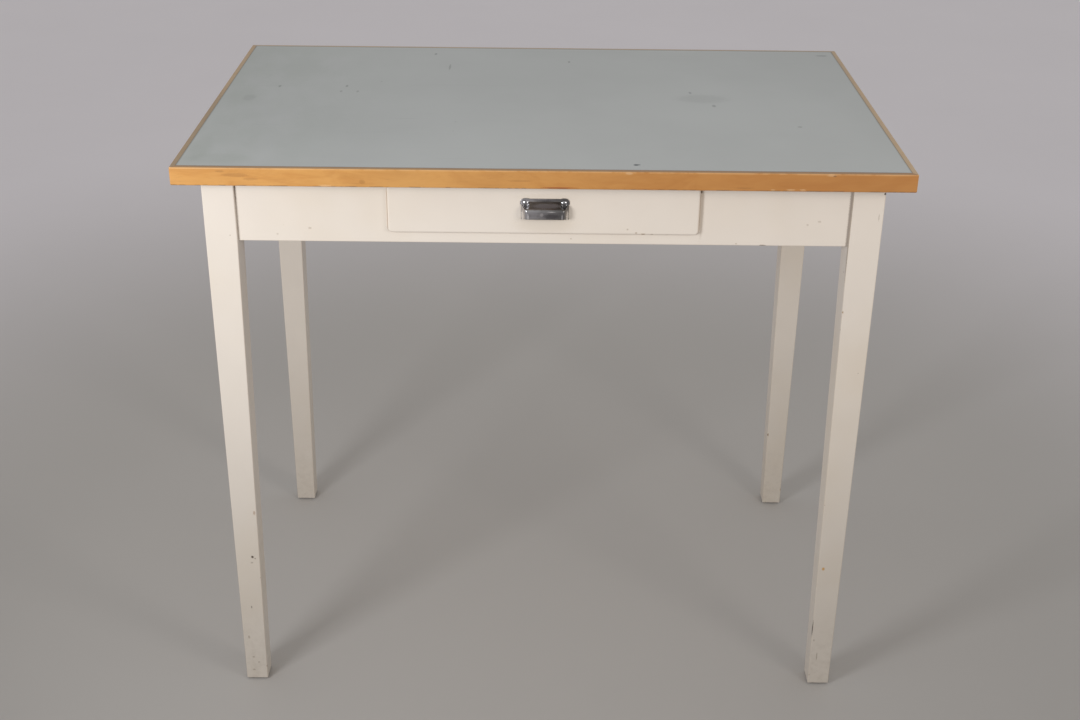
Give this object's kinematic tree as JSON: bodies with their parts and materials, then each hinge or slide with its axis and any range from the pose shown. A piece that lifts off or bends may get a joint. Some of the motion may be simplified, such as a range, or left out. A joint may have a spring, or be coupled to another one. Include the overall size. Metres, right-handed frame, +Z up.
{
  "type": "kitchen table with drawer",
  "caption": "Four-legged kitchen table with a laminated top in a hardwood lipping, painted tapered legs and aprons, and an inset front drawer with a cup pull.",
  "frame": {"origin": "on the floor under the middle of the top", "axes": "+X to the right along the long side, +Y from the drawer's side to the back, +Z up"},
  "size_m": [0.9, 0.58, 0.785],
  "materials": {
    "painted_wood": "cream enamel paint, satin",
    "varnished_hardwood": "clear varnish, satin",
    "bare_softwood": "planed, bare",
    "plywood": "bare",
    "blockboard": "bare",
    "laminate": "grey-green decorative laminate, satin",
    "chrome": "polished chrome plating",
    "zinc_steel": "dull"
  },
  "bodies": {
    "frame": {"top_core": "blockboard", "top_laminate": "laminate", "lipping_front": "varnished_hardwood", "lipping_back": "varnished_hardwood", "lipping_left": "varnished_hardwood", "lipping_right": "varnished_hardwood", "leg_front_left": "painted_wood", "leg_front_right": "painted_wood", "leg_back_left": "painted_wood", "leg_back_right": "painted_wood", "foot_glide_front_left": "zinc_steel", "foot_glide_front_right": "zinc_steel", "foot_glide_back_left": "zinc_steel", "foot_glide_back_right": "zinc_steel", "apron_front": "painted_wood", "apron_back": "painted_wood", "apron_left": "painted_wood", "apron_right": "painted_wood", "corner_block_front_left": "bare_softwood", "corner_block_front_right": "bare_softwood", "corner_block_back_left": "bare_softwood", "corner_block_back_right": "bare_softwood", "corner_block_screws": "zinc_steel", "top_buttons": "bare_softwood", "top_button_screws": "zinc_steel", "guide_left": "bare_softwood", "guide_right": "bare_softwood", "runner_left": "bare_softwood", "runner_right": "bare_softwood", "runner_screws": "zinc_steel", "drawer_stop_left": "bare_softwood", "drawer_stop_right": "bare_softwood"},
    "drawer": {"drawer_front": "painted_wood", "drawer_side_left": "bare_softwood", "drawer_side_right": "bare_softwood", "drawer_back": "bare_softwood", "drawer_bottom": "plywood", "drawer_bottom_nails": "zinc_steel", "drawer_pull": "chrome", "pull_screws": "chrome"}
  },
  "joints": [
    {"name": "drawer_slide", "type": "slide", "parent": "frame", "child": "drawer", "axis": [0, -1, 0], "range_m": [0, 0.36]}
  ]
}
